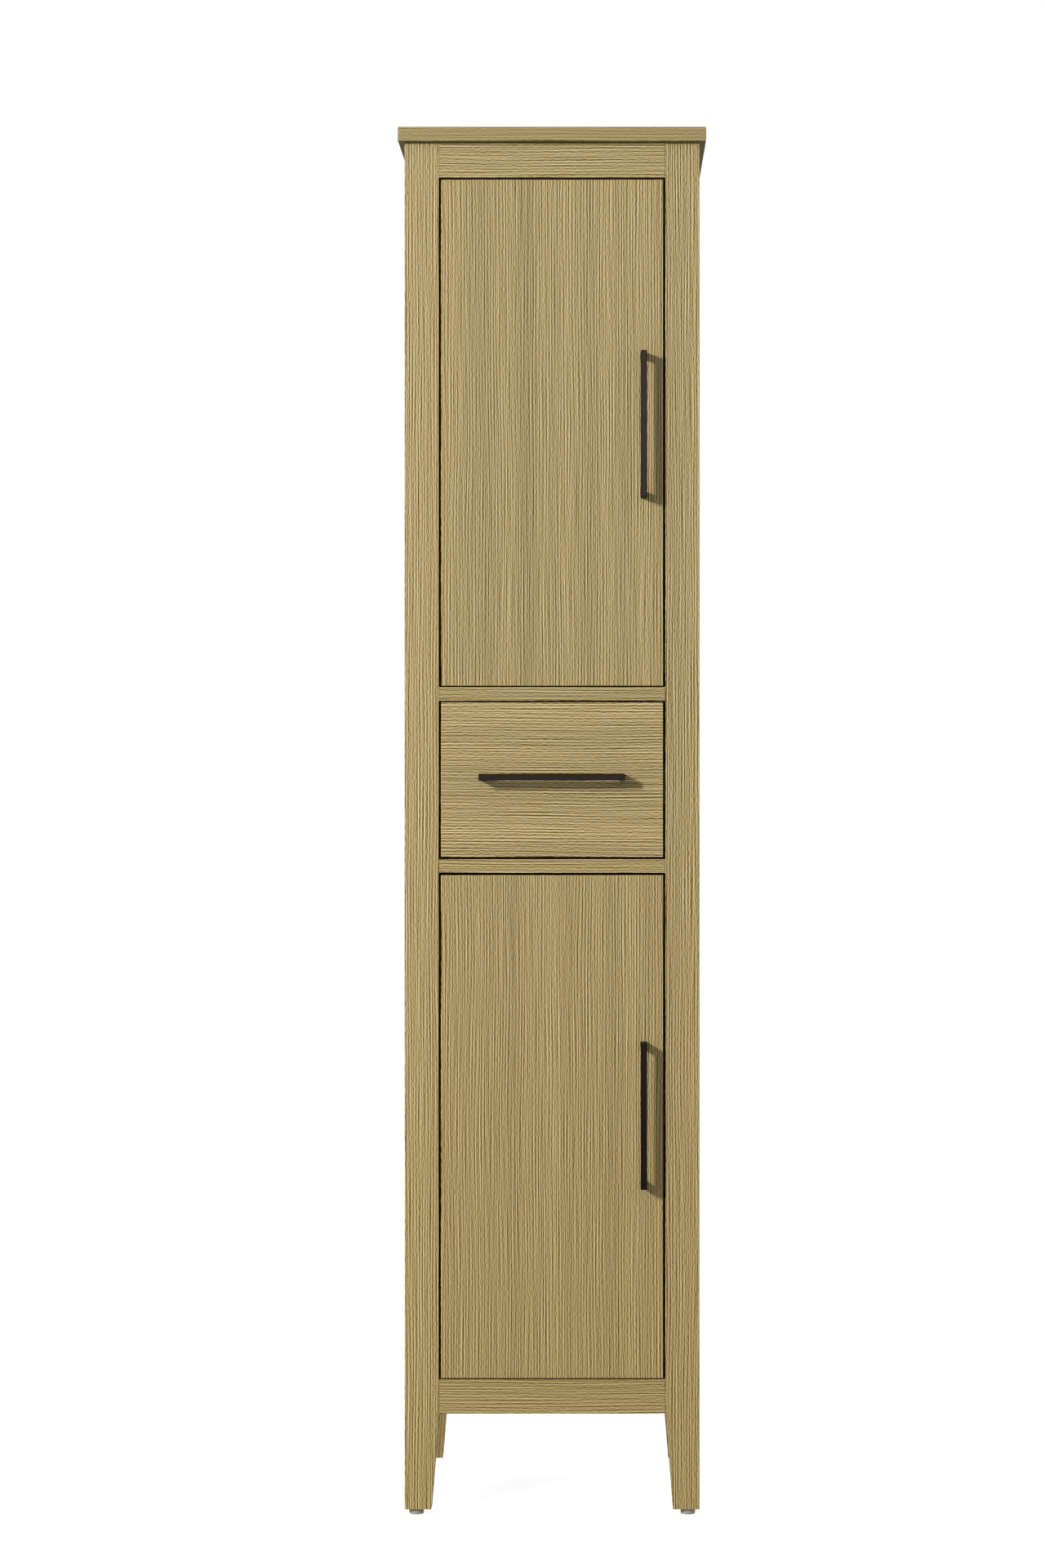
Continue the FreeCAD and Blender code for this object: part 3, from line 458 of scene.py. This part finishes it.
def cutSlot(screw, radius, headHeight, turn):
    # one arm of the cross, narrower at its foot
    size = (radius * screwShape["crossLength"], radius * screwShape["crossWidth"],
            headHeight * screwShape["crossDepth"] * 2)
    bpy.ops.object.select_all(action="DESELECT")
    bpy.ops.mesh.primitive_cube_add(size=1, scale=size, rotation=(0, 0, turn))
    cutter = bpy.context.object
    bpy.ops.object.transform_apply()
    bpy.ops.object.mode_set(mode="EDIT")
    bpy.ops.mesh.select_mode(type="FACE")
    pickFaces(cutter, looksDown)
    foot = screwShape["crossFoot"]
    bpy.ops.transform.resize(value=(foot, foot, 1), center_override=(0, 0, -size[2] / 2))
    bpy.ops.object.mode_set(mode="OBJECT")
    cut = screw.modifiers.new("cross", "BOOLEAN")
    cut.operation = "DIFFERENCE"
    cut.object = cutter
    bpy.ops.object.select_all(action="DESELECT")
    screw.select_set(True)
    bpy.context.view_layer.objects.active = screw
    bpy.ops.object.modifier_apply(modifier=cut.name)
    bpy.data.objects.remove(cutter)


def solidBoxes(name, axis, reach=0.012):
    # the box of each separate solid in a node: seen along the axis, they lie further apart than reach
    groups = []
    for vertex in nodes[name].data.vertices:
        for group in groups:
            apart = vertex.co - group[0]
            apart[axis] = 0
            if apart.length < reach:
                group.append(vertex.co)
                break
        else:
            groups.append([vertex.co])
    return [([min(spot[way] for spot in group) for way in range(3)],
             [max(spot[way] for spot in group) for way in range(3)]) for group in groups]


def setOut(model, name, places, direction, seed):
    # copies of a model, its top at each place and facing a direction, joined as one piece
    draw = random.Random(seed)
    bpy.ops.object.select_all(action="DESELECT")
    for place in places:
        copy = model.copy()
        copy.data = model.data.copy()
        bpy.context.scene.collection.objects.link(copy)
        spin = Quaternion((0, 0, 1), draw.uniform(0, math.pi))
        copy.rotation_euler = (Vector(direction).to_track_quat("Z", "Y") @ spin).to_euler()
        copy.location = place
        copy.select_set(True)
    bpy.context.view_layer.objects.active = copy
    bpy.ops.object.join()
    piece = bpy.context.object
    piece.name = name
    bpy.ops.object.transform_apply()
    bpy.data.objects.remove(model)
    return piece


def finishPiece(piece, material, body):
    piece.data.materials.append(material)
    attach(piece, body)


# each row: screws' axis, the way the heads look along it, head height, and the body they ride on
screwRows = {
    "hinge_plate_screws": {"axis": 0, "way": 1, "head": 0.0016, "body": "carcass"},
    "upper_hinge_cup_screws": {"axis": 1, "way": 1, "head": 0.0016, "body": "upper_door"},
    "lower_hinge_cup_screws": {"axis": 1, "way": 1, "head": 0.0016, "body": "lower_door"},
    "upper_door_handle_screws": {"axis": 1, "way": 1, "head": 0.0022, "body": "upper_door"},
    "lower_door_handle_screws": {"axis": 1, "way": 1, "head": 0.0022, "body": "lower_door"},
    "drawer_handle_screws": {"axis": 1, "way": 1, "head": 0.0022, "body": "drawer"},
    "top_screws": {"axis": 2, "way": -1, "head": 0.0016, "body": "carcass"},
}


def headSpots(name, axis, way):
    # where each head's top is, with the head's radius and the whole length
    spots = []
    for low, high in solidBoxes(name, axis):
        spot = [(a + b) / 2 for a, b in zip(low, high)]
        spot[axis] = high[axis] if way > 0 else low[axis]
        spots.append(spot)
    across = (axis + 1) % 3
    return spots, (high[across] - low[across]) / 2, high[axis] - low[axis]


def facingAlong(axis, way):
    return [way if place == axis else 0 for place in range(3)]


for seed, (name, row) in enumerate(screwRows.items()):
    spots, radius, length = headSpots(name, row["axis"], row["way"])
    screws = setOut(makeScrew(radius, row["head"], length), name + "_cross_headed", spots,
                    facingAlong(row["axis"], row["way"]), seed)
    finishPiece(screws, zincPlate, row["body"])
    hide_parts(name)

# low round screws that hold the inner slide members to the drawer's sides
slideScrew = {"radius": 0.0042, "head": 0.0014, "length": 0.011, "wall": 0.0012,
              "stations": (0.12, 0.5, 0.88), "seed": 20}
low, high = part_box("drawer_slide_inner_members")
middleZ = (low.z + high.z) / 2
for side, way in (("left", -1), ("right", 1)):
    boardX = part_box("drawer_%s_side" % side)[0 if way < 0 else 1].x
    headX = boardX + way * (slideScrew["wall"] + slideScrew["head"])
    spots = [(headX, low.y + share * (high.y - low.y), middleZ) for share in slideScrew["stations"]]
    model = makeScrew(slideScrew["radius"], slideScrew["head"], slideScrew["length"])
    screws = setOut(model, side + "_slide_screws", spots, (way, 0, 0), slideScrew["seed"] + way)
    finishPiece(screws, zincPlate, "drawer")

# one adjusting screw on the front of each hinge arm, near its plate
adjuster = {"radius": 0.0026, "head": 0.001, "length": 0.005, "armDepth": 0.007, "armReach": 0.03,
            "fromPlate": 0.0065, "seed": 30}
spots = []
for low, high in solidBoxes("hinge_arms", 0, adjuster["armReach"]):
    spots.append((low[0] + adjuster["fromPlate"], high[1] - adjuster["armDepth"] - adjuster["head"],
                  (low[2] + high[2]) / 2))
model = makeScrew(adjuster["radius"], adjuster["head"], adjuster["length"])
adjusters = setOut(model, "hinge_adjusters", spots, facingAlong(1, -1), adjuster["seed"])
finishPiece(adjusters, nickelPlate, "carcass")

# brads round the back panel, their heads flush with it
brad = {"radius": 0.0022, "head": 0.0008, "length": 0.016, "inset": 0.006, "proud": 0.00004,
        "rows": 13, "columns": 4, "seed": 50}


def evenSteps(start, end, count):
    return [start + (end - start) * step / (count - 1) for step in range(count)]


low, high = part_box("back_panel")
topY = high.y + brad["proud"]
columns = evenSteps(low.x + brad["inset"], high.x - brad["inset"], brad["columns"])
rows = evenSteps(low.z + brad["inset"], high.z - brad["inset"], brad["rows"])
spots = [(x, topY, z) for x in (columns[0], columns[-1]) for z in rows]
spots += [(x, topY, z) for x in columns[1:-1] for z in (rows[0], rows[-1])]
model = makeScrew(brad["radius"], brad["head"], brad["length"], crossed=False)
brads = setOut(model, "back_panel_brads", spots, facingAlong(1, 1), brad["seed"])
finishPiece(brads, zincPlate, "carcass")

# soft domes with a short straight rim, behind the free edges of the doors
bumperShape = {"dome": 0.85, "domeSegments": 6, "smoothAngle": 40, "seed": 40}


def makeBumper(radius, height):
    bumper = startDisc(radius, height)
    pickFaces(bumper, looksUp)
    bpy.ops.mesh.bevel(offset=height * bumperShape["dome"], segments=bumperShape["domeSegments"],
                       affect="EDGES")
    bpy.ops.object.mode_set(mode="OBJECT")
    bpy.ops.object.shade_smooth_by_angle(angle=math.radians(bumperShape["smoothAngle"]))
    return bumper


spots, radius, height = headSpots("door_bumpers", 1, -1)
bumpers = setOut(makeBumper(radius, height), "door_bumper_domes", spots, facingAlong(1, -1),
                 bumperShape["seed"])
finishPiece(bumpers, bumperClear, "carcass")
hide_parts("door_bumpers")
print("screws and bumpers modelled")

# stage: pale floor, white surroundings, soft key from the front left, two weaker lamps behind, even fill
stageLook = {"floorSize": 30.0, "floorColour": (0.86, 0.86, 0.86, 1.0), "bounceColour": (0.2, 0.2, 0.2, 1.0),
             "floorRoughness": 0.9, "floorGlow": 0.8, "glowStrength": 1.15,
             "white": (1, 1, 1, 1), "fill": 0.54, "lampDistance": 5.5, "lampAim": 0.97}
lamps = {"key": {"power": 258.0, "size": 0.69, "from": (-0.76, -1.0, 0.41)},
         "backLeft": {"power": 120.0, "size": 1.6, "from": (-0.8, 1.0, 0.6)},
         "backRight": {"power": 190.0, "size": 1.6, "from": (1.2, 0.9, 0.6)}}


def seenDirectly(network):
    # 1 for rays that show the surroundings themselves: to the camera, in gloss and through glass
    seen = 0.0
    for ray in ("Is Camera Ray", "Is Glossy Ray", "Is Transmission Ray"):
        seen = network.maths("MAXIMUM", seen, network.add("ShaderNodeLightPath", out=ray))
    return seen


def makeFloor():
    bpy.ops.object.select_all(action="DESELECT")
    bpy.ops.mesh.primitive_plane_add(size=stageLook["floorSize"], location=(0, 0, 0))
    floor = bpy.context.object
    floor.name = "floor"
    finish = Finish("floorPale", Roughness=stageLook["floorRoughness"], Specular_IOR_Level=0.0)
    seen = seenDirectly(finish)
    finish.give("Base Color", finish.blend(seen, stageLook["bounceColour"], stageLook["floorColour"]))
    glow = finish.add("ShaderNodeEmission", {}, {"Strength": stageLook["glowStrength"]})
    matt = Wire(finish, finish.shader.outputs[0])
    mixed = finish.add("ShaderNodeMixShader", {}, {0: seen * stageLook["floorGlow"], 1: matt, 2: glow})
    finish.plug(finish.tree.nodes["Material Output"].inputs["Surface"], mixed)
    floor.data.materials.append(finish.material)


def makeWorld():
    world = bpy.data.worlds.new("studio")
    bpy.context.scene.world = world
    studio = Network(world)
    white = stageLook["white"]
    fill = studio.add("ShaderNodeBackground", {}, {"Color": white, "Strength": stageLook["fill"]})
    shown = studio.add("ShaderNodeBackground", {}, {"Color": white, "Strength": 1.0})
    mixed = studio.add("ShaderNodeMixShader", {}, {0: seenDirectly(studio), 1: fill, 2: shown})
    studio.plug(studio.tree.nodes["World Output"].inputs["Surface"], mixed)


def makeLamp(name, lampLook, target):
    away = Vector(lampLook["from"]).normalized()
    data = bpy.data.lights.new(name, "AREA")
    data.energy = lampLook["power"]
    data.shape = "SQUARE"
    data.size = lampLook["size"]
    lamp = bpy.data.objects.new(name, data)
    bpy.context.scene.collection.objects.link(lamp)
    lamp.location = target + away * stageLook["lampDistance"]
    lamp.rotation_euler = (-away).to_track_quat("-Z", "Y").to_euler()


# camera: level, a little right of the middle, with the photograph's framing
imageWidth, imageHeight = 1280, 1920
view = {"x": 0.066, "height": 1.0127, "distance": 4.54, "sensor": 36.0, "metresPerPixel": 0.0010766,
        "vanishX": 737.5, "vanishY": 915.0}


def makeCamera(frontY):
    data = bpy.data.cameras.new("camera")
    data.sensor_width = view["sensor"]
    data.lens = view["distance"] * data.sensor_width / imageHeight / view["metresPerPixel"]
    data.shift_x = (imageWidth / 2 - view["vanishX"]) / imageHeight
    data.shift_y = (view["vanishY"] - imageHeight / 2) / imageHeight
    camera = bpy.data.objects.new("camera", data)
    bpy.context.scene.collection.objects.link(camera)
    camera.location = (view["x"], frontY - view["distance"], view["height"])
    camera.rotation_euler = (math.radians(90), 0, 0)
    bpy.context.scene.camera = camera


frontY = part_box("top_rail")[0].y
makeFloor()
makeWorld()
for name, lampLook in lamps.items():
    makeLamp(name, lampLook, Vector((0, frontY, stageLook["lampAim"])))
makeCamera(frontY)
bpy.context.scene.view_settings.view_transform = "Standard"
print("stage, light and camera set")
